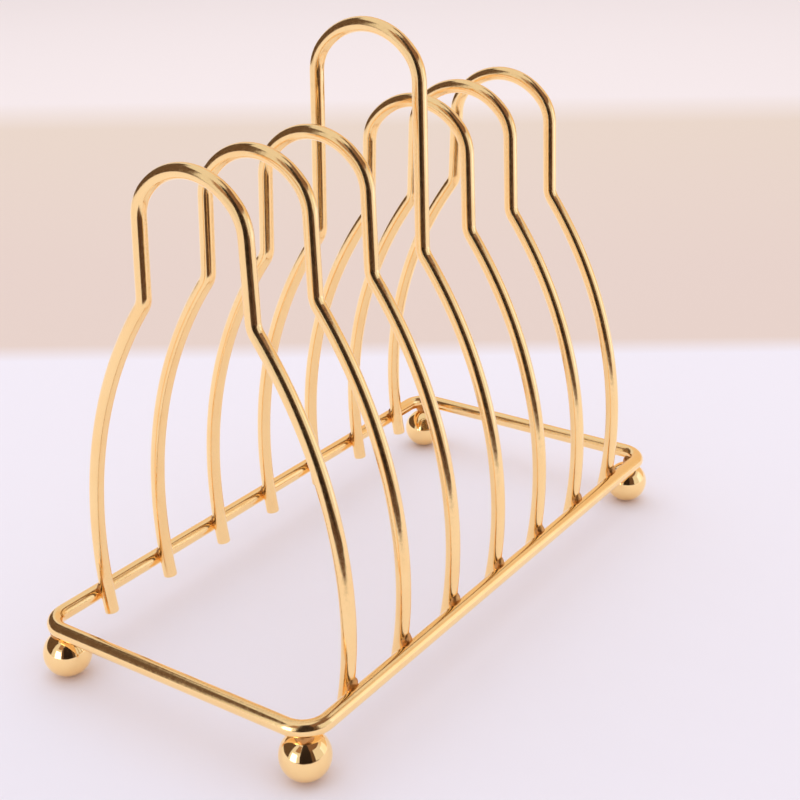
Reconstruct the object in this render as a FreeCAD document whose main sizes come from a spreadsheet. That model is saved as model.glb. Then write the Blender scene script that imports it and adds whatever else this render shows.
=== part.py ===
import FreeCAD, Part
import math
import os
import Sketcher

# A toast rack of bent round wire, for six slices. Seven wire hoops stand in a row inside the two
# long rails of a rectangular base ring, and the ring rests on four balls. The middle hoop is
# taller and serves as the handle. Every crossing is brazed, so the rack is one rigid thing.
#
# Frame: X runs along the row of hoops, Y across it, Z is up. The origin is on the table, under
# the middle of the rack.

doc = FreeCAD.newDocument("toast_rack")

# ---------------------------------------------------------------- sizes, in millimetres

sizes = [
    ("slices", 6, "slices of toast the rack holds, an even number so that the handle is central"),
    ("slot_pitch", 24, "from one hoop's centre to the next"),
    ("hoop_wire", 4, "thickness of the hoops' wire"),
    ("ring_wire", 4.5, "thickness of the base ring's wire"),
    ("end_reach", 22.6, "from the outer hoops' centre to the outside of the ring's short sides"),
    ("ring_width", 95, "outside of one long rail to the outside of the other"),
    ("corner_bend", 7, "bend radius of the ring's corners, at the wire's centre"),
    ("foot_ball", 13.4, "diameter of a ball foot"),
    ("foot_inset_end", 3.3, "from a short side's centre line in to the middle of a ball"),
    ("foot_inset_rail", 4.2, "from a long rail's centre line in to the middle of a ball"),
    ("foot_gap", 0.35, "braze between the top of a ball and the underside of the ring"),
    ("weld_sink", 0.3, "depth of the seat where a hoop's leg is pressed against the rail"),
    ("slice_height", 144.5, "table to the top of the six slice hoops"),
    ("handle_height", 168.5, "table to the top of the handle hoop"),
    ("arch_half_width", 16.7, "half the width of a hoop's arch, at the wire's centre"),
    ("arch_rise", 13.9, "height of the arch over the top of the neck"),
    ("shoulder_bend", 11.5, "bend radius at the two sides of the arch"),
    ("neck_half_width", 17.4, "half the width of the neck where it bends out into the legs"),
    ("kink_bend", 6, "bend radius between the neck and a leg"),
    ("leg_bow", 120.5, "radius of the long bow of a leg"),
    ("belly_height", 33.4, "table to the widest place of the legs"),
    ("tail_drop", 5.1, "from the rail's centre down to the end of a leg"),
    ("tail_rounding", 0.5, "rounding of a leg's cut end"),
    ("rail_bead", 2.6, "radius of the braze bead where a leg crosses a rail"),
    ("foot_bead", 2.6, "radius of the braze bead between a ball and the ring"),
    ("foot_bead_out_end", 1.2, "from a ball's middle out to its bead's, towards the short side"),
    ("foot_bead_out_rail", 0.9, "from a ball's middle out to its bead's, towards the long rail"),
]

sheet = doc.addObject("Spreadsheet::Sheet", "sheet")
for row, (alias, value, meaning) in enumerate(sizes, start=1):
    sheet.set(f"A{row}", meaning)
    sheet.set(f"B{row}", str(value))
    sheet.setAlias(f"B{row}", alias)
doc.recompute()

# Places that several pieces share, as expressions on the sheet.
HOOP_RADIUS = "sheet.hoop_wire / 2"
RING_RADIUS = "sheet.ring_wire / 2"
RING_HEIGHT = f"(sheet.foot_ball + sheet.foot_gap + {RING_RADIUS})"
RAIL_Y = "((sheet.ring_width - sheet.ring_wire) / 2)"
END_X = f"(sheet.slices / 2 * sheet.slot_pitch + sheet.end_reach - {RING_RADIUS})"
SEAT_Y = f"({RAIL_Y} - {RING_RADIUS} - {HOOP_RADIUS} + sheet.weld_sink)"


def size(alias):
    return float(sheet.get(alias))


# ---------------------------------------------------------------- sketching

# How a constraint names the points of a line or an arc, and the sketch's two axes.
START = 1
END = 2
CENTRE = 3
HORIZONTAL_AXIS = -1
VERTICAL_AXIS = -2


def origin_plane(body, role):
    return next(plane for plane in body.Origin.OriginFeatures if plane.Role == role)


def new_sketch(body, name, role, lift=None):
    """An empty sketch on one of the body's own origin planes, raised by the expression lift."""
    sketch = body.newObject("Sketcher::SketchObject", name)
    sketch.AttachmentSupport = [(origin_plane(body, role), "")]
    sketch.MapMode = "FlatFace"
    if lift:
        sketch.setExpression("AttachmentOffset.Base.z", lift)
    return sketch


def hold(sketch, name, constraint, expression):
    """Adds a dimension to the sketch and ties it to the sheet."""
    index = sketch.addConstraint(constraint)
    sketch.renameConstraint(index, name)
    sketch.setExpression(f"Constraints.{name}", expression)


def line(x1, y1, x2, y2):
    return Part.LineSegment(FreeCAD.Vector(x1, y1, 0), FreeCAD.Vector(x2, y2, 0))


def arc(x, y, radius, start_deg, end_deg):
    """An arc that runs anticlockwise from start_deg to end_deg."""
    circle = Part.Circle(FreeCAD.Vector(x, y, 0), FreeCAD.Vector(0, 0, 1), radius)
    return Part.ArcOfCircle(circle, math.radians(start_deg), math.radians(end_deg))


def wire_section(body, across, up, radius):
    """A wire's round section, on the plane of X and Z. Without across its centre is over the axis."""
    section = new_sketch(body, "Section", "XZ_Plane")
    circle = Part.Circle(FreeCAD.Vector(1, 1, 0), FreeCAD.Vector(0, 0, 1), 1)
    ring = section.addGeometry(circle, False)
    hold(section, "radius", Sketcher.Constraint("Radius", ring, 1.0), radius)
    if across:
        hold(section, "across", Sketcher.Constraint("DistanceX", ring, CENTRE, 1.0), across)
    else:
        section.addConstraint(Sketcher.Constraint("PointOnObject", ring, CENTRE, VERTICAL_AXIS))
    hold(section, "up", Sketcher.Constraint("DistanceY", ring, CENTRE, 1.0), up)
    return section


def bend_wire(body, section, path):
    """Sweeps the section along the path."""
    wire = body.newObject("PartDesign::AdditivePipe", "Wire")
    wire.Profile = section
    wire.Spine = path
    body.Tip = wire
    return wire


# ---------------------------------------------------------------- base ring

def base_ring():
    """The thick wire bent into a long rectangle. Its ends meet at the middle of one short side."""
    body = doc.addObject("PartDesign::Body", "base_ring")
    path = new_sketch(body, "Path", "XY_Plane", RING_HEIGHT)
    bend = size("corner_bend")
    end_x = size("slices") / 2 * size("slot_pitch") + size("end_reach") - size("ring_wire") / 2
    rail_y = (size("ring_width") - size("ring_wire")) / 2
    inner_x = end_x - bend
    inner_y = rail_y - bend
    path.addGeometry([
        line(end_x, 0, end_x, inner_y),
        arc(inner_x, inner_y, bend, 0, 90),
        line(inner_x, rail_y, -inner_x, rail_y),
        arc(-inner_x, inner_y, bend, 90, 180),
        line(-end_x, inner_y, -end_x, -inner_y),
        arc(-inner_x, -inner_y, bend, 180, 270),
        line(-inner_x, -rail_y, inner_x, -rail_y),
        arc(inner_x, -inner_y, bend, 270, 360),
        line(end_x, -inner_y, end_x, 0),
    ], False)
    first_half, left_rail, far_end, right_rail, last_half = 0, 2, 4, 6, 8
    bends = [1, 3, 5, 7]
    for piece in range(last_half):
        path.addConstraint(Sketcher.Constraint("Tangent", piece, END, piece + 1, START))
    path.addConstraint([
        Sketcher.Constraint("Coincident", last_half, END, first_half, START),
        Sketcher.Constraint("PointOnObject", first_half, START, HORIZONTAL_AXIS),
        Sketcher.Constraint("Vertical", first_half),
        Sketcher.Constraint("Vertical", last_half),
        Sketcher.Constraint("Vertical", far_end),
        Sketcher.Constraint("Horizontal", right_rail),
        Sketcher.Constraint("Symmetric", left_rail, START, left_rail, END, VERTICAL_AXIS),
        Sketcher.Constraint("Symmetric", left_rail, END, right_rail, START, HORIZONTAL_AXIS),
        Sketcher.Constraint("Equal", bends[0], bends[1]),
        Sketcher.Constraint("Equal", bends[0], bends[3]),
    ])
    bend_radius = Sketcher.Constraint("Radius", bends[0], bend)
    end_distance = Sketcher.Constraint("DistanceX", first_half, START, end_x)
    rail_distance = Sketcher.Constraint("DistanceY", left_rail, START, rail_y)
    hold(path, "corner_bend", bend_radius, "sheet.corner_bend")
    hold(path, "end_x", end_distance, END_X)
    hold(path, "rail_y", rail_distance, RAIL_Y)
    section = wire_section(body, END_X, RING_HEIGHT, RING_RADIUS)
    bend_wire(body, section, path)
    return body


# ---------------------------------------------------------------- hoops

def half_hoop_path(body, height):
    """One side of a hoop, from the middle of its arch down to the end of the leg.

    Five pieces follow each other: the crown of the arch, its tighter shoulder, the straight neck,
    the sharp bend outwards, and the long bow of the leg, which passes the rail at its seat.
    """
    path = new_sketch(body, "Path", "YZ_Plane")
    top = size(height) - size("hoop_wire") / 2
    spring = top - size("arch_rise")
    shoulder = size("shoulder_bend")
    shoulder_y = size("arch_half_width") - shoulder
    crown = (shoulder_y**2 + size("arch_rise")**2 - shoulder**2) / 2 / (size("arch_rise") - shoulder)
    crown_end = math.degrees(math.atan2(spring - top + crown, shoulder_y))

    ring_z = size("foot_ball") + size("foot_gap") + size("ring_wire") / 2
    seat_y = (size("ring_width") - size("hoop_wire")) / 2 - size("ring_wire") + size("weld_sink")
    bow = size("leg_bow")
    belly = size("belly_height")
    bow_y = seat_y - math.sqrt(bow**2 - (belly - ring_z)**2)
    tail_angle = math.degrees(math.asin((ring_z - size("tail_drop") - belly) / bow))
    neck_y = size("neck_half_width")
    kink = size("kink_bend")
    kink_y = neck_y + kink
    kink_z = belly + math.sqrt((bow + kink)**2 - (kink_y - bow_y)**2)
    leg_angle = math.degrees(math.atan2(kink_z - belly, kink_y - bow_y))

    path.addGeometry([
        arc(0, top - crown, crown, crown_end, 90),
        arc(shoulder_y, spring, shoulder, 0, crown_end),
        line(shoulder_y + shoulder, spring, neck_y, kink_z),
        arc(kink_y, kink_z, kink, 180, 180 + leg_angle),
        arc(bow_y, belly, bow, tail_angle, leg_angle),
    ], False)
    crown_arc, shoulder_arc, neck, kink_arc, leg = range(5)
    seat = path.addGeometry(Part.Point(FreeCAD.Vector(seat_y, ring_z, 0)), True)
    path.addConstraint([
        Sketcher.Constraint("Tangent", crown_arc, START, shoulder_arc, END),
        Sketcher.Constraint("Tangent", shoulder_arc, START, neck, START),
        Sketcher.Constraint("Tangent", neck, END, kink_arc, START),
        Sketcher.Constraint("Tangent", kink_arc, END, leg, END),
        Sketcher.Constraint("PointOnObject", crown_arc, END, VERTICAL_AXIS),
        Sketcher.Constraint("PointOnObject", crown_arc, CENTRE, VERTICAL_AXIS),
        Sketcher.Constraint("PointOnObject", seat, START, leg),
    ])
    dimensions = [
        ("top", "DistanceY", (crown_arc, END), top, f"sheet.{height} - {HOOP_RADIUS}"),
        ("shoulder_bend", "Radius", (shoulder_arc,), shoulder, "sheet.shoulder_bend"),
        ("shoulder_y", "DistanceX", (shoulder_arc, CENTRE), shoulder_y,
         "sheet.arch_half_width - sheet.shoulder_bend"),
        ("spring", "DistanceY", (shoulder_arc, CENTRE), spring,
         f"sheet.{height} - {HOOP_RADIUS} - sheet.arch_rise"),
        ("neck_y", "DistanceX", (neck, END), neck_y, "sheet.neck_half_width"),
        ("kink_bend", "Radius", (kink_arc,), kink, "sheet.kink_bend"),
        ("leg_bow", "Radius", (leg,), bow, "sheet.leg_bow"),
        ("belly_height", "DistanceY", (leg, CENTRE), belly, "sheet.belly_height"),
        ("seat_y", "DistanceX", (seat, START), seat_y, SEAT_Y),
        ("seat_z", "DistanceY", (seat, START), ring_z, RING_HEIGHT),
        ("tail_end", "DistanceY", (leg, START), ring_z - size("tail_drop"),
         f"{RING_HEIGHT} - sheet.tail_drop"),
    ]
    for name, kind, place, value, expression in dimensions:
        hold(path, name, Sketcher.Constraint(kind, *place, value), expression)
    return path


def round_tails(body):
    """Takes the sharp edge off the cut ends of the two legs."""
    doc.recompute()
    ring_z = size("foot_ball") + size("foot_gap") + size("ring_wire") / 2
    ends = [
        f"Edge{number}"
        for number, edge in enumerate(body.Shape.Edges, start=1)
        if edge.isClosed() and edge.BoundBox.ZMax < ring_z
    ]
    bent = body.Tip
    rounding = body.newObject("PartDesign::Fillet", "RoundedTails")
    rounding.Base = (bent, ends)
    rounding.setExpression("Radius", "sheet.tail_rounding")
    body.Tip = rounding


def press_rail_seats(body):
    """The shallow round seats in the legs where the two rails are pressed in and brazed."""
    seats = new_sketch(body, "RailSeats", "YZ_Plane")
    right, left = seats.addGeometry([
        Part.Circle(FreeCAD.Vector(side, 1, 0), FreeCAD.Vector(0, 0, 1), 1)
        for side in (1, -1)
    ], False)
    seats.addConstraint([
        Sketcher.Constraint("Equal", right, left),
        Sketcher.Constraint("Symmetric", right, CENTRE, left, CENTRE, VERTICAL_AXIS),
    ])
    hold(seats, "radius", Sketcher.Constraint("Radius", right, 1.0), RING_RADIUS)
    hold(seats, "rail_y", Sketcher.Constraint("DistanceX", right, CENTRE, 1.0), RAIL_Y)
    hold(seats, "rail_z", Sketcher.Constraint("DistanceY", right, CENTRE, 1.0), RING_HEIGHT)
    pocket = body.newObject("PartDesign::Pocket", "PressedSeats")
    pocket.Profile = seats
    pocket.Midplane = True
    pocket.setExpression("Length", "sheet.hoop_wire * 2")
    body.Tip = pocket


def wire_hoop(name, height, place):
    """A whole hoop, standing place pitches along the row from the middle of the rack."""
    body = doc.addObject("PartDesign::Body", name)
    path = half_hoop_path(body, height)
    section = wire_section(body, None, f"sheet.{height} - {HOOP_RADIUS}", HOOP_RADIUS)
    half = bend_wire(body, section, path)
    whole = body.newObject("PartDesign::Mirrored", "BothSides")
    whole.Originals = [half]
    whole.MirrorPlane = (origin_plane(body, "XZ_Plane"), [""])
    body.Tip = whole
    round_tails(body)
    press_rail_seats(body)
    body.setExpression("Placement.Base.x", f"sheet.slot_pitch * {place}")
    return body


# ---------------------------------------------------------------- feet and braze

def ball(name, radius, x, y, z):
    """A sphere whose size and place follow the expressions given."""
    sphere = doc.addObject("Part::Sphere", name)
    sphere.setExpression("Radius", radius)
    sphere.setExpression("Placement.Base.x", x)
    sphere.setExpression("Placement.Base.y", y)
    sphere.setExpression("Placement.Base.z", z)
    return sphere


def bead(radius, x, y, z, neighbours, turn=0):
    """A ball of braze, less what would be inside the pieces that it joins.

    The ball is turned about X so that its poles, and the ends of its seam, lie inside those pieces.
    """
    shape = ball("Bead", radius, x, y, z)
    shape.Placement.Rotation = FreeCAD.Rotation(FreeCAD.Vector(1, 0, 0), turn)
    for neighbour in neighbours:
        cut = doc.addObject("Part::Cut", "Bead")
        cut.Base = shape
        cut.Tool = neighbour
        shape = cut
    return shape


def group(name, beads):
    """Separate beads that are one named piece."""
    together = doc.addObject("Part::Compound", name)
    together.Links = beads
    return together


def foot_place(front, right):
    """The X and Y of a foot's middle, under one corner of the ring, and those of its bead."""
    along = "-" if front else ""
    across = "-" if right else ""
    foot_x = f"{END_X} - sheet.foot_inset_end"
    foot_y = f"{RAIL_Y} - sheet.foot_inset_rail"
    bead_x = f"{foot_x} + sheet.foot_bead_out_end"
    bead_y = f"{foot_y} + sheet.foot_bead_out_rail"
    return (f"{along}({foot_x})", f"{across}({foot_y})"), (f"{along}({bead_x})", f"{across}({bead_y})")


corners = [("front", "left"), ("front", "right"), ("back", "left"), ("back", "right")]
ring = base_ring()
feet = []
foot_beads = []
for end, side in corners:
    foot_at, joint_at = foot_place(end == "front", side == "right")
    foot = ball(f"foot_{end}_{side}", "sheet.foot_ball / 2", *foot_at, "sheet.foot_ball / 2")
    feet.append(foot)
    middle_of_gap = "sheet.foot_ball + sheet.foot_gap / 2"
    foot_beads.append(bead("sheet.foot_bead", *joint_at, middle_of_gap, [ring, foot]))

# The hoops in their order along the row, with the handle in the middle.
slices = int(size("slices"))
middle = slices // 2
hoops = []
for number in range(slices + 1):
    if number == middle:
        name, height = "handle_hoop", "handle_height"
    else:
        name, height = f"hoop_{number + 1 if number < middle else number}", "slice_height"
    hoops.append(wire_hoop(name, height, number - middle))

rail_beads = {"right": [], "left": []}
for number, hoop in enumerate(hoops):
    x = f"sheet.slot_pitch * {number - middle}"
    for side, sign in (("right", "-"), ("left", "")):
        y = f"{sign}({RAIL_Y} - {RING_RADIUS})"
        rail_beads[side].append(bead("sheet.rail_bead", x, y, RING_HEIGHT, [ring, hoop], turn=90))

pieces = [ring, *hoops, *feet]
pieces.append(group("rail_welds_right", rail_beads["right"]))
pieces.append(group("rail_welds_left", rail_beads["left"]))
pieces.append(group("foot_welds", foot_beads))


# ---------------------------------------------------------------- check and write

doc.recompute()
for thing in doc.Objects:
    if "Invalid" in thing.State or "Error" in thing.State:
        raise RuntimeError(f"{thing.Label} failed to build")
for piece in pieces:
    if piece.Shape.isNull() or not piece.Shape.isValid():
        raise RuntimeError(f"{piece.Label} has no sound shape")

os.makedirs("parts", exist_ok=True)
for piece in pieces:
    piece.Shape.exportStep(f"parts/{piece.Label}.step")
    print(piece.Label, "solids", len(piece.Shape.Solids), "volume", round(piece.Shape.Volume, 1))
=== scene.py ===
import math

import bpy
from mathutils import Matrix, Vector


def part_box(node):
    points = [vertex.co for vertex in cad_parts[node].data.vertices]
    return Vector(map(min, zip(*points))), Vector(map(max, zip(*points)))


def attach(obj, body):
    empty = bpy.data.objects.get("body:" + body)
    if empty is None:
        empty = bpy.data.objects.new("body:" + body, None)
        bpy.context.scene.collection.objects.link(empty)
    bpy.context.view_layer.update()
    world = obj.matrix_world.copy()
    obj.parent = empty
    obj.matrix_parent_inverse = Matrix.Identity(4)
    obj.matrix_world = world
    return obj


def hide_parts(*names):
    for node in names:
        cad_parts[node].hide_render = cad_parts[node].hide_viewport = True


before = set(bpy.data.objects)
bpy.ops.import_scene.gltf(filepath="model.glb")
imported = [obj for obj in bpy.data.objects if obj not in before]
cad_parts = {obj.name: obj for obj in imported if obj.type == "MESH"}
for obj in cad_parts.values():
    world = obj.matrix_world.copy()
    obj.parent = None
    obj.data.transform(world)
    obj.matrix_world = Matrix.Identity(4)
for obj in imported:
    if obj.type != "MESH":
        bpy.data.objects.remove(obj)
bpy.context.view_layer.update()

# ---------------------------------------------------------------- camera
# The rack is seen from a little above, over one corner of its base ring, so that the row of hoops
# runs away to the right and both long rails show.

camera_place = (-0.3085, -0.2206, 0.2214)
camera_heading = math.radians(34.40)
camera_dip = math.radians(23.18)
camera_roll = math.radians(-0.71)

camera_data = bpy.data.cameras.new("camera")
camera_data.sensor_width = 36
camera_data.lens = 63.5
camera_data.clip_start = 0.01
camera = bpy.data.objects.new("camera", camera_data)
turn_to_heading = Matrix.Rotation(camera_heading - math.pi / 2, 4, "Z")
tip_down = Matrix.Rotation(math.pi / 2 - camera_dip, 4, "X")
roll_over = Matrix.Rotation(camera_roll, 4, "Z")
camera.matrix_world = Matrix.Translation(camera_place) @ turn_to_heading @ tip_down @ roll_over
bpy.context.scene.collection.objects.link(camera)
bpy.context.scene.camera = camera
bpy.context.scene.view_settings.view_transform = "Standard"


# ---------------------------------------------------------------- floor
# One wide plain sheet of pale card lies under the rack. It is a cool white round the rack, turns to a
# warm rose white a hand's breadth behind it, and is paler again further off.

floor_size = 40
floor_roughness, floor_shine = 0.9, 0.1
floor_white = (0.855, 0.79, 0.85, 1)
floor_in_metal = (0.95, 0.92, 0.97, 1)
rose_white = (0.76, 0.605, 0.54, 1)
warm_white = (0.78, 0.635, 0.54, 1)
far_white = (0.88, 0.775, 0.765, 1)
rose_starts, far_ends = 0.185, 1.40
tone_places = [(0.015, rose_white), (0.10, rose_white), (0.38, warm_white), (0.46, far_white)]

bpy.ops.object.select_all(action="DESELECT")
bpy.ops.mesh.primitive_plane_add(size=floor_size, location=(0, 0, 0))
floor = bpy.context.object
floor.name = "floor"

floor_finish = bpy.data.materials.new("pale_card")
floor_finish.use_nodes = True
nodes, links = floor_finish.node_tree.nodes, floor_finish.node_tree.links
surface = nodes["Principled BSDF"]
surface.inputs["Roughness"].default_value = floor_roughness
surface.inputs["Specular IOR Level"].default_value = floor_shine
place = nodes.new("ShaderNodeTexCoord")
turned = nodes.new("ShaderNodeMapping")
turned.inputs["Rotation"].default_value = (0, 0, -camera_heading)
axes = nodes.new("ShaderNodeSeparateXYZ")
behind = nodes.new("ShaderNodeMapRange")
behind.inputs["From Min"].default_value = rose_starts
behind.inputs["From Max"].default_value = far_ends
tones = nodes.new("ShaderNodeValToRGB")
tones.color_ramp.elements[0].color = floor_white
tones.color_ramp.elements[1].color = far_white
for position, tone in tone_places:
    tones.color_ramp.elements.new(position).color = tone
links.new(place.outputs["Object"], turned.inputs["Vector"])
links.new(turned.outputs["Vector"], axes.inputs["Vector"])
links.new(axes.outputs["X"], behind.inputs["Value"])
links.new(behind.outputs["Result"], tones.inputs["Fac"])
# The metal sees the floor in a paler colour than the camera does: a painted brightening of the floor's
# reflection.
floor_rays = nodes.new("ShaderNodeLightPath")
floor_as_seen = nodes.new("ShaderNodeMix")
floor_as_seen.data_type = "RGBA"
floor_as_seen.inputs["B"].default_value = floor_in_metal
links.new(floor_rays.outputs["Is Glossy Ray"], floor_as_seen.inputs["Factor"])
links.new(tones.outputs["Color"], floor_as_seen.inputs["A"])
links.new(floor_as_seen.outputs["Result"], surface.inputs["Base Color"])
floor.data.materials.append(floor_finish)


# ---------------------------------------------------------------- light
# A large soft box over the rack lights the floor, and the polished metal mirrors a pale room. Two small
# soft boxes, the dark cards round the rack and a dark table top before it show only in reflections.

rack_middle = Vector((0, 0, 0.08))


def studio_place(nearer, right, up):
    """A place given as seen by the camera: nearer to it than the rack, right of the rack, and up."""
    along, across = camera_heading + math.pi, camera_heading - math.pi / 2
    return Vector((nearer * math.cos(along) + right * math.cos(across),
                   nearer * math.sin(along) + right * math.sin(across), up))


def soft_box(name, place, width, height, power, colour):
    """A rectangular lamp that faces the middle of the rack."""
    data = bpy.data.lights.new(name, "AREA")
    data.shape = "RECTANGLE"
    data.size = width
    data.size_y = height
    data.energy = power
    data.color = colour
    lamp = bpy.data.objects.new(name, data)
    facing = (rack_middle - place).to_track_quat("-Z", "Y").to_matrix().to_4x4()
    lamp.matrix_world = Matrix.Translation(place) @ facing
    lamp.visible_camera = False
    bpy.context.scene.collection.objects.link(lamp)
    return lamp


ceiling_box = soft_box("ceiling_box", studio_place(nearer=-0.30, right=-0.05, up=1.20),
                       width=2.2, height=2.2, power=8.6, colour=(0.80, 0.90, 1))
ceiling_box.visible_glossy = False
window_box = soft_box("window_box", studio_place(nearer=-0.04, right=0.52, up=0.13),
                      width=0.32, height=0.32, power=0.22, colour=(0.34, 0.66, 1))
window_box.visible_diffuse = False
low_box = soft_box("low_box", studio_place(nearer=0.31, right=-0.25, up=0.09),
                   width=0.15, height=0.18, power=0.26, colour=(1, 1, 1))
low_box.visible_diffuse = False

room_white = (0.84, 0.85, 0.88, 1)
wall_beige = (0.88, 0.69, 0.50, 1)
plain_backdrop = (0.86, 0.81, 0.83, 1)
beige_starts, beige_full = 0.50, 0.68
beige_top, beige_full_below = 0.75, 0.60
world = bpy.data.worlds.new("pale_room")
world.use_nodes = True
bpy.context.scene.world = world
nodes, links = world.node_tree.nodes, world.node_tree.links
room = nodes["Background"]
direction = nodes.new("ShaderNodeTexCoord")
sides = nodes.new("ShaderNodeSeparateXYZ")
along_row = nodes.new("ShaderNodeMapRange")
along_row.inputs["From Min"].default_value = beige_starts
along_row.inputs["From Max"].default_value = beige_full
below_ceiling = nodes.new("ShaderNodeMapRange")
below_ceiling.inputs["From Min"].default_value = beige_top
below_ceiling.inputs["From Max"].default_value = beige_full_below
on_wall = nodes.new("ShaderNodeMath")
on_wall.operation = "MULTIPLY"
room_tone = nodes.new("ShaderNodeMix")
room_tone.data_type = "RGBA"
room_tone.inputs["A"].default_value = room_white
room_tone.inputs["B"].default_value = wall_beige
links.new(direction.outputs["Generated"], sides.inputs["Vector"])
links.new(sides.outputs["X"], along_row.inputs["Value"])
links.new(sides.outputs["Z"], below_ceiling.inputs["Value"])
links.new(along_row.outputs["Result"], on_wall.inputs[0])
links.new(below_ceiling.outputs["Result"], on_wall.inputs[1])
links.new(on_wall.outputs["Value"], room_tone.inputs["Factor"])
room_rays = nodes.new("ShaderNodeLightPath")
room_as_seen = nodes.new("ShaderNodeMix")
room_as_seen.data_type = "RGBA"
room_as_seen.inputs["B"].default_value = plain_backdrop
links.new(room_rays.outputs["Is Camera Ray"], room_as_seen.inputs["Factor"])
links.new(room_tone.outputs["Result"], room_as_seen.inputs["A"])
links.new(room_as_seen.outputs["Result"], room.inputs["Color"])

card_roughness = 0.9
card_sides = 144


def only_in_reflections(card, name, colour):
    """Gives the card its matt cloth and leaves it visible only in reflections."""
    card.visible_camera = False
    card.visible_diffuse = False
    card.visible_shadow = False
    card.visible_transmission = False
    finish = bpy.data.materials.new(name)
    finish.use_nodes = True
    cloth = finish.node_tree.nodes["Principled BSDF"]
    cloth.inputs["Base Color"].default_value = colour
    cloth.inputs["Roughness"].default_value = card_roughness
    card.data.materials.append(finish)


def dark_card(name, angles, heights, distance, colour):
    """A curved upright card round the rack, between two angles from the camera's direction."""
    bottom, top = heights
    bpy.ops.object.select_all(action="DESELECT")
    bpy.ops.mesh.primitive_cylinder_add(vertices=card_sides, radius=distance, depth=top - bottom,
                                        end_fill_type="NOTHING", location=(0, 0, (bottom + top) / 2))
    card = bpy.context.object
    card.name = name
    bpy.ops.object.mode_set(mode="EDIT")
    bpy.ops.mesh.select_all(action="DESELECT")
    bpy.ops.object.mode_set(mode="OBJECT")
    nearer, right = studio_place(1, 0, 0), studio_place(0, 1, 0)
    first, last = angles
    for face in card.data.polygons:
        angle = math.degrees(math.atan2(face.center.dot(right), face.center.dot(nearer)))
        face.select = not first < angle < last
    bpy.ops.object.mode_set(mode="EDIT")
    bpy.ops.mesh.delete(type="FACE")
    bpy.ops.object.mode_set(mode="OBJECT")
    only_in_reflections(card, name, colour)


deep_brown = (0.22, 0.12, 0.07, 1)
# Each card's name, angles, lower and upper edge, distance and colour.
for card_facts in [
    ("dark_card", (-20, 42), (0, 1.35), 1.1, (0.13, 0.08, 0.05, 1)),
    ("camera_card", (-17, 22), (0, 1.5), 0.45, (0.015, 0.007, 0.004, 1)),
    ("brown_card", (-148, -66), (0.05, 1.55), 1.1, (0.12, 0.075, 0.045, 1)),
    ("left_card", (-44, -20), (0.42, 1.15), 0.6, (0.38, 0.24, 0.15, 1)),
    ("right_card", (15, 105), (0.52, 2.0), 0.6, deep_brown),
    ("back_card", (105, 150), (0.86, 1.65), 0.6, deep_brown),
]:
    dark_card(*card_facts)

table_height = 0.0004
table_brown = (0.095, 0.040, 0.022, 1)
table_corners = [studio_place(0.205, -0.10, table_height), studio_place(1.1, -0.42, table_height),
                 studio_place(1.1, 1.3, table_height), studio_place(0.205, 0.29, table_height)]
bpy.ops.object.select_all(action="DESELECT")
bpy.ops.mesh.primitive_plane_add(size=1, location=(0, 0, 0))
table = bpy.context.object
table.name = "dark_table"
for number, corner in zip(table.data.polygons[0].vertices, table_corners):
    table.data.vertices[number].co = corner
only_in_reflections(table, "dark_table", table_brown)


# ---------------------------------------------------------------- gold plate
# Every wire, ball and bead has a gold-coloured plate over polished metal. The group gives the plate
# its slight clouding and its fine polishing marks, and each finish has its own colours and polish.

bright_gold, deep_gold = (1.0, 0.69, 0.33, 1), (0.96, 0.57, 0.22, 1)
cloud_scale, cloud_detail, deepest_cloud = 90, 3, 0.35
cloud_starts, cloud_full = 0.45, 0.8
mark_scale, mark_detail = 900, 4
mark_starts, mark_full = 0.3, 0.7
mark_strength, mark_depth = 0.04, 0.0002

plate = bpy.data.node_groups.new("bright_plate", "ShaderNodeTree")
for in_out, name, kind in [
    ("INPUT", "Colour", "NodeSocketColor"), ("INPUT", "Deep colour", "NodeSocketColor"),
    ("INPUT", "Polish", "NodeSocketFloat"), ("INPUT", "Haze", "NodeSocketFloat"),
    ("OUTPUT", "Colour", "NodeSocketColor"), ("OUTPUT", "Roughness", "NodeSocketFloat"),
    ("OUTPUT", "Height", "NodeSocketFloat"),
]:
    plate.interface.new_socket(name, in_out=in_out, socket_type=kind)
nodes, links = plate.nodes, plate.links
enter = nodes.new("NodeGroupInput")
leave = nodes.new("NodeGroupOutput")
where = nodes.new("ShaderNodeTexCoord")
clouds = nodes.new("ShaderNodeTexNoise")
clouds.inputs["Scale"].default_value = cloud_scale
clouds.inputs["Detail"].default_value = cloud_detail
cloud_amount = nodes.new("ShaderNodeMapRange")
cloud_amount.inputs["From Min"].default_value = cloud_starts
cloud_amount.inputs["From Max"].default_value = cloud_full
cloud_amount.inputs["To Max"].default_value = deepest_cloud
tint = nodes.new("ShaderNodeMix")
tint.data_type = "RGBA"
marks = nodes.new("ShaderNodeTexNoise")
marks.inputs["Scale"].default_value = mark_scale
marks.inputs["Detail"].default_value = mark_detail
rough = nodes.new("ShaderNodeMapRange")
rough.inputs["From Min"].default_value = mark_starts
rough.inputs["From Max"].default_value = mark_full
links.new(where.outputs["Object"], clouds.inputs["Vector"])
links.new(where.outputs["Object"], marks.inputs["Vector"])
links.new(clouds.outputs["Fac"], cloud_amount.inputs["Value"])
links.new(cloud_amount.outputs["Result"], tint.inputs["Factor"])
links.new(enter.outputs["Colour"], tint.inputs["A"])
links.new(enter.outputs["Deep colour"], tint.inputs["B"])
links.new(tint.outputs["Result"], leave.inputs["Colour"])
links.new(marks.outputs["Fac"], rough.inputs["Value"])
links.new(enter.outputs["Polish"], rough.inputs["To Min"])
links.new(enter.outputs["Haze"], rough.inputs["To Max"])
links.new(rough.outputs["Result"], leave.inputs["Roughness"])
links.new(marks.outputs["Fac"], leave.inputs["Height"])


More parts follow.
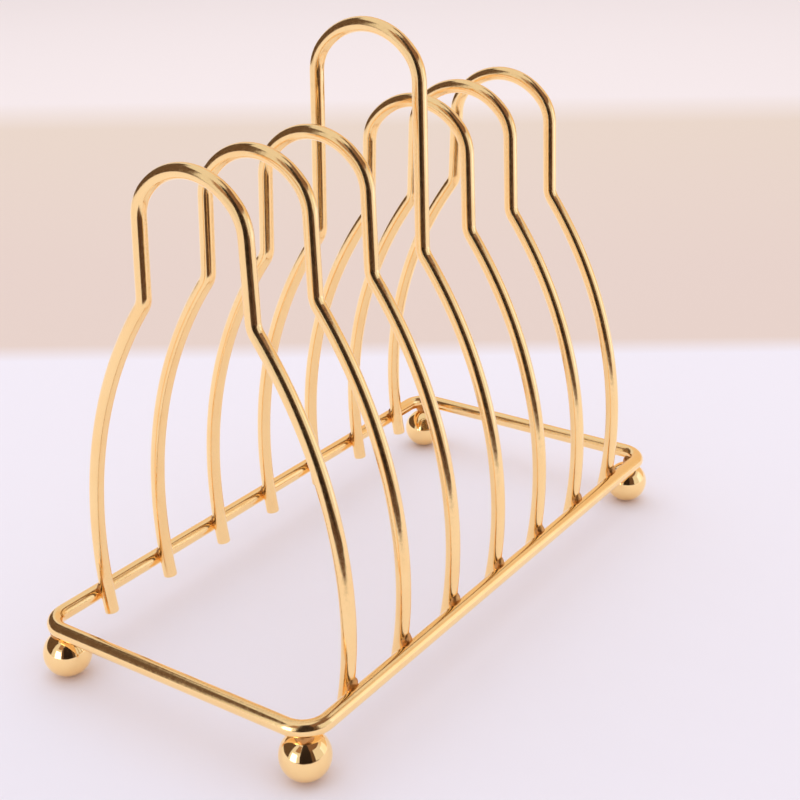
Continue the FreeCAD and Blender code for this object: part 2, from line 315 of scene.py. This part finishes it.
def plated(name, colour, deep_colour, polish, haze):
    """A gold-plated finish with its own colours and polish."""
    finish = bpy.data.materials.new(name)
    finish.use_nodes = True
    nodes, links = finish.node_tree.nodes, finish.node_tree.links
    surface = nodes["Principled BSDF"]
    surface.inputs["Metallic"].default_value = 1
    group = nodes.new("ShaderNodeGroup")
    group.node_tree = plate
    group.inputs["Colour"].default_value = colour
    group.inputs["Deep colour"].default_value = deep_colour
    group.inputs["Polish"].default_value = polish
    group.inputs["Haze"].default_value = haze
    bump = nodes.new("ShaderNodeBump")
    bump.inputs["Strength"].default_value = mark_strength
    bump.inputs["Distance"].default_value = mark_depth
    links.new(group.outputs["Colour"], surface.inputs["Base Color"])
    links.new(group.outputs["Roughness"], surface.inputs["Roughness"])
    links.new(group.outputs["Height"], bump.inputs["Height"])
    links.new(bump.outputs["Normal"], surface.inputs["Normal"])
    return finish


# ---------------------------------------------------------------- base ring
# One length of thick round wire, bent into a long rectangle with four round corners, and closed by a
# butt joint that doesn't show. It carries the hoops and stands on the four balls.

ring_low, ring_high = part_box("base_ring")
ring_radius = (ring_high.z - ring_low.z) / 2
ring_height = (ring_high.z + ring_low.z) / 2
ring_end_x = ring_high.x - ring_radius
rail_y = ring_high.y - ring_radius
corner_bend = 0.007
ring_sides = 48
corner_steps, long_steps, short_steps = 16, 24, 12
join_distance = 1e-6
wire_gold = plated("wire_gold", bright_gold, deep_gold, polish=0.10, haze=0.22)


def start_wire(name, radius, sides, place, across):
    """A round section at place, all selected in edit mode, ready to be drawn along the axis across."""
    bpy.ops.object.select_all(action="DESELECT")
    turn = (math.pi / 2, 0, 0) if across == "Y" else (0, 0, 0)
    bpy.ops.mesh.primitive_circle_add(vertices=sides, radius=radius, fill_type="NOTHING",
                                      location=place, rotation=turn)
    wire = bpy.context.object
    wire.name = name
    bpy.ops.object.transform_apply(location=True, rotation=True, scale=True)
    bpy.ops.object.mode_set(mode="EDIT")
    bpy.ops.mesh.select_all(action="SELECT")
    return wire


def draw_straight(step, pieces):
    """Draws the wire straight on, by step in all."""
    for _ in range(pieces):
        bpy.ops.mesh.extrude_region_move(TRANSFORM_OT_translate={"value": Vector(step) / pieces})


def bend(centre, axis, angle, pieces):
    """Draws the wire on around centre. The operator turns clockwise, so the angle is negated."""
    bpy.ops.mesh.spin(steps=pieces, angle=-angle, center=centre, axis=axis)


def close_up(distance):
    """Merges what meets within distance, points the faces outwards and leaves the piece smooth."""
    bpy.ops.mesh.select_all(action="SELECT")
    bpy.ops.mesh.remove_doubles(threshold=distance)
    bpy.ops.mesh.normals_make_consistent(inside=False)
    bpy.ops.object.mode_set(mode="OBJECT")
    bpy.ops.object.shade_smooth()


ring = start_wire("ring_wire", ring_radius, ring_sides, (ring_end_x, 0, ring_height), "Y")
inner_x = ring_end_x - corner_bend
inner_y = rail_y - corner_bend
upwards = (0, 0, 1)
draw_straight((0, inner_y, 0), short_steps // 2)
bend((inner_x, inner_y, ring_height), upwards, math.pi / 2, corner_steps)
draw_straight((-2 * inner_x, 0, 0), long_steps)
bend((-inner_x, inner_y, ring_height), upwards, math.pi / 2, corner_steps)
draw_straight((0, -2 * inner_y, 0), short_steps)
bend((-inner_x, -inner_y, ring_height), upwards, math.pi / 2, corner_steps)
draw_straight((2 * inner_x, 0, 0), long_steps)
bend((inner_x, -inner_y, ring_height), upwards, math.pi / 2, corner_steps)
draw_straight((0, inner_y, 0), short_steps // 2)
close_up(join_distance)
ring.data.materials.append(wire_gold)
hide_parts("base_ring")
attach(ring, "root")


# ---------------------------------------------------------------- hoops
# Six equal hoops and the taller handle hoop, each of one length of round wire. The arch, the straight
# neck, the sharp bend outwards and the long bowed leg follow each other, and the cut end is rounded.

slice_hoops = ["hoop_1", "hoop_2", "hoop_3", "hoop_4", "hoop_5", "hoop_6"]
hoop_low, hoop_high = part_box("hoop_1")
hoop_radius = (hoop_high.x - hoop_low.x) / 2
hoop_sides = 40
arch_half_width = 0.0167
arch_rise = 0.0139
shoulder_bend = 0.0115
neck_half_width = 0.0174
kink_bend = 0.006
leg_bow = 0.1205
belly_height = 0.0334
tail_drop = 0.0051
tail_rounding = 0.0005
weld_sink = 0.0003
crown_steps, shoulder_steps, neck_steps, kink_steps, leg_steps, rounding_steps = 10, 14, 8, 12, 72, 5
end_rings = (0.6, 0.3)
slope_rounds = 12


def wire_hoop(name, cad_node):
    """One side of a hoop, drawn from the middle of its arch to the end of its leg, and mirrored."""
    low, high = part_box(cad_node)
    x = (low.x + high.x) / 2
    top = high.z - hoop_radius
    spring = top - arch_rise
    shoulder_y = arch_half_width - shoulder_bend
    crown = (shoulder_y**2 + arch_rise**2 - shoulder_bend**2) / 2 / (arch_rise - shoulder_bend)
    crown_turn = math.atan2(shoulder_y, spring - top + crown)

    seat_y = rail_y - ring_radius - hoop_radius + weld_sink
    bow_y = seat_y - math.sqrt(leg_bow**2 - (belly_height - ring_height)**2)
    tail_turn = math.asin((ring_height - tail_drop - belly_height) / leg_bow)
    # The neck leans out a little: its slope is settled between the shoulder and the outward bend.
    slope = 0.0
    for _ in range(slope_rounds):
        kink_y = neck_half_width + kink_bend * math.cos(slope)
        kink_z = belly_height + math.sqrt((leg_bow + kink_bend)**2 - (kink_y - bow_y)**2)
        neck_end = kink_z - kink_bend * math.sin(slope)
        lean = (neck_half_width - shoulder_y) * math.cos(slope) - shoulder_bend
        slope = math.asin(lean / (spring - neck_end))
    leg_turn = math.atan2(kink_z - belly_height, kink_y - bow_y)
    neck_top_y = shoulder_y + shoulder_bend * math.cos(slope)
    neck_top_z = spring + shoulder_bend * math.sin(slope)

    hoop = start_wire(name, hoop_radius, hoop_sides, (x, 0, top), "Y")
    outwards = (-1, 0, 0)
    bend((x, 0, top - crown), outwards, crown_turn, crown_steps)
    bend((x, shoulder_y, spring), outwards, math.pi / 2 - crown_turn - slope, shoulder_steps)
    draw_straight((0, neck_half_width - neck_top_y, neck_end - neck_top_z), neck_steps)
    bend((x, kink_y, kink_z), outwards, -(leg_turn - slope), kink_steps)
    stop_short = tail_rounding / leg_bow
    bend((x, bow_y, belly_height), outwards, leg_turn - tail_turn - stop_short, leg_steps)

    # The cut end is rounded in small steps and closed by narrower rings inside its flat.
    along = Vector((0, math.sin(tail_turn), -math.cos(tail_turn)))
    end_y = bow_y + leg_bow * math.cos(tail_turn)
    end = Vector((x, end_y, belly_height + leg_bow * math.sin(tail_turn))) - along * tail_rounding
    radius, reach = hoop_radius, 0.0
    for step in range(1, rounding_steps + 1):
        angle = math.pi / 2 * step / rounding_steps
        further = tail_rounding * math.sin(angle)
        smaller = hoop_radius - tail_rounding * (1 - math.cos(angle))
        bpy.ops.mesh.extrude_region_move(TRANSFORM_OT_translate={"value": along * (further - reach)})
        shrink = smaller / radius
        bpy.ops.transform.resize(value=(shrink, shrink, shrink), center_override=end + along * further)
        radius, reach = smaller, further
    for share in end_rings:
        bpy.ops.mesh.extrude_region_move()
        shrink = hoop_radius * share / radius
        bpy.ops.transform.resize(value=(shrink, shrink, shrink), center_override=end + along * reach)
        radius = hoop_radius * share
    bpy.ops.mesh.edge_face_add()
    bpy.ops.mesh.poke()
    bpy.ops.object.mode_set(mode="OBJECT")

    both_sides = hoop.modifiers.new("both sides", "MIRROR")
    both_sides.use_axis = (False, True, False)
    both_sides.merge_threshold = join_distance
    bpy.ops.object.modifier_apply(modifier=both_sides.name)
    bpy.ops.object.mode_set(mode="EDIT")
    close_up(join_distance)
    hoop.data.materials.append(wire_gold)
    return hoop


def stand(hoop, cad_node):
    """Puts the hoop in the place of its CAD node."""
    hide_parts(cad_node)
    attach(hoop, "root")


first_hoop = wire_hoop("hoop_wire_1", "hoop_1")
stand(first_hoop, "hoop_1")
first_x = (hoop_low.x + hoop_high.x) / 2
for number, cad_node in enumerate(slice_hoops[1:], start=2):
    low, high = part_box(cad_node)
    hoop = bpy.data.objects.new(f"hoop_wire_{number}", first_hoop.data.copy())
    hoop.data.transform(Matrix.Translation(((low.x + high.x) / 2 - first_x, 0, 0)))
    bpy.context.scene.collection.objects.link(hoop)
    stand(hoop, cad_node)
stand(wire_hoop("handle_wire", "handle_hoop"), "handle_hoop")


# ---------------------------------------------------------------- ball feet
# Four solid balls under the ring's corners, turned, polished brighter than the wire, and plated.
# Each has a very small worn flat where it stands, and is brazed to the ring at its top.

foot_gold = plated("foot_gold", bright_gold, deep_gold, polish=0.05, haze=0.10)
foot_nodes = ["foot_front_left", "foot_front_right", "foot_back_left", "foot_back_right"]
worn_flat = 0.00002
ball_segments, ball_rings = 64, 48
ball_join_distance = 1e-7
first_low, first_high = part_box(foot_nodes[0])
ball_radius = (first_high.z - first_low.z) / 2
first_place = (first_low + first_high) / 2
bpy.ops.object.select_all(action="DESELECT")
bpy.ops.mesh.primitive_uv_sphere_add(segments=ball_segments, ring_count=ball_rings,
                                     radius=ball_radius, location=first_place)
first_ball = bpy.context.object
first_ball.name = "ball_" + foot_nodes[0].removeprefix("foot_")
bpy.ops.object.transform_apply(location=True, rotation=True, scale=True)
bpy.ops.object.mode_set(mode="EDIT")
bpy.ops.mesh.select_mode(type="VERT")
bpy.ops.mesh.select_all(action="DESELECT")
bpy.ops.object.mode_set(mode="OBJECT")
for vertex in first_ball.data.vertices:
    vertex.select = vertex.co.z < worn_flat
bpy.ops.object.mode_set(mode="EDIT")
bpy.ops.transform.resize(value=(1, 1, 0), center_override=(first_place.x, first_place.y, 0))
close_up(ball_join_distance)
first_ball.data.materials.append(foot_gold)
balls = {foot_nodes[0]: first_ball}
for node in foot_nodes[1:]:
    low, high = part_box(node)
    ball = bpy.data.objects.new("ball_" + node.removeprefix("foot_"), first_ball.data.copy())
    ball.data.transform(Matrix.Translation((low + high) / 2 - first_place))
    bpy.context.scene.collection.objects.link(ball)
    balls[node] = ball
for node, ball in balls.items():
    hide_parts(node)
    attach(ball, "root")

# The low soft box shines on the balls and the base ring only.
low_box_shines_on = bpy.data.collections.new("seen_in_feet_and_ring")
for piece in (ring, *balls.values()):
    low_box_shines_on.objects.link(piece)
low_box.light_linking.receiver_collection = low_box_shines_on


# ---------------------------------------------------------------- braze
# A bead of braze fills the crevice just above each crossing of leg and rail, and another sits between
# each ball and the ring. Their plate is painted a deeper, browner gold: painted shade of the crevices
# they sit in.

# These two colours are painted shade: they darken the beads as the shade and dark reflections of the
# crevices would.
painted_shade_gold, deepest_painted_shade_gold = (0.62, 0.30, 0.10, 1), (0.36, 0.15, 0.05, 1)
braze_gold_with_painted_shade = plated("braze_gold_with_painted_shade", painted_shade_gold, deepest_painted_shade_gold, polish=0.28, haze=0.45)
leg_bead, leg_bead_stretch = 0.0017, (1.0, 1.0, 1.4)
leg_bead_lift = 0.0020
foot_bead, foot_bead_stretch = 0.0026, (1.0, 1.0, 0.95)
foot_bead_height = 0.013575
foot_bead_out_end, foot_bead_out_rail = 0.0012, 0.0009
lump_size, lump_height = 0.0022, 0.0009
bead_fineness = 4
bead_lumps = bpy.data.textures.new("bead_lumps", "CLOUDS")
bead_lumps.noise_scale = lump_size


def bead(name, place, radius, stretch):
    """A slightly lumpy drop of braze, closed all round."""
    bpy.ops.object.select_all(action="DESELECT")
    bpy.ops.mesh.primitive_ico_sphere_add(subdivisions=bead_fineness, radius=radius, location=place)
    drop = bpy.context.object
    drop.name = name
    bpy.ops.transform.resize(value=stretch)
    bpy.ops.object.transform_apply(location=True, rotation=True, scale=True)
    lumps = drop.modifiers.new("lumps", "DISPLACE")
    lumps.texture = bead_lumps
    lumps.texture_coords = "LOCAL"
    lumps.strength = lump_height
    bpy.ops.object.modifier_apply(modifier=lumps.name)
    bpy.ops.object.shade_smooth()
    return drop


def braze(name, beads, cad_node):
    """Joins the beads into one piece that stands for the CAD node."""
    bpy.ops.object.select_all(action="DESELECT")
    for drop in beads:
        drop.select_set(True)
    bpy.context.view_layer.objects.active = beads[0]
    bpy.ops.object.join()
    joined = bpy.context.object
    joined.name = name
    joined.data.materials.append(braze_gold_with_painted_shade)
    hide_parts(cad_node)
    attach(joined, "root")


hoops_in_row = [*slice_hoops[:3], "handle_hoop", *slice_hoops[3:]]
hoop_boxes = [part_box(node) for node in hoops_in_row]
hoop_places = [(low.x + high.x) / 2 for low, high in hoop_boxes]
for side, sign in (("right", -1), ("left", 1)):
    seat = Vector((0, sign * (rail_y - ring_radius), ring_height + leg_bead_lift))
    beads = [bead(f"bead_{side}_{number}", seat + Vector((x, 0, 0)), leg_bead, leg_bead_stretch)
             for number, x in enumerate(hoop_places, start=1)]
    braze(f"braze_{side}", beads, f"rail_welds_{side}")

foot_beads = []
for node in foot_nodes:
    low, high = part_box(node)
    middle = (low + high) / 2
    place = Vector((middle.x + math.copysign(foot_bead_out_end, middle.x),
                    middle.y + math.copysign(foot_bead_out_rail, middle.y), foot_bead_height))
    foot_beads.append(bead(f"bead_{node}", place, foot_bead, foot_bead_stretch))
braze("braze_feet", foot_beads, "foot_welds")
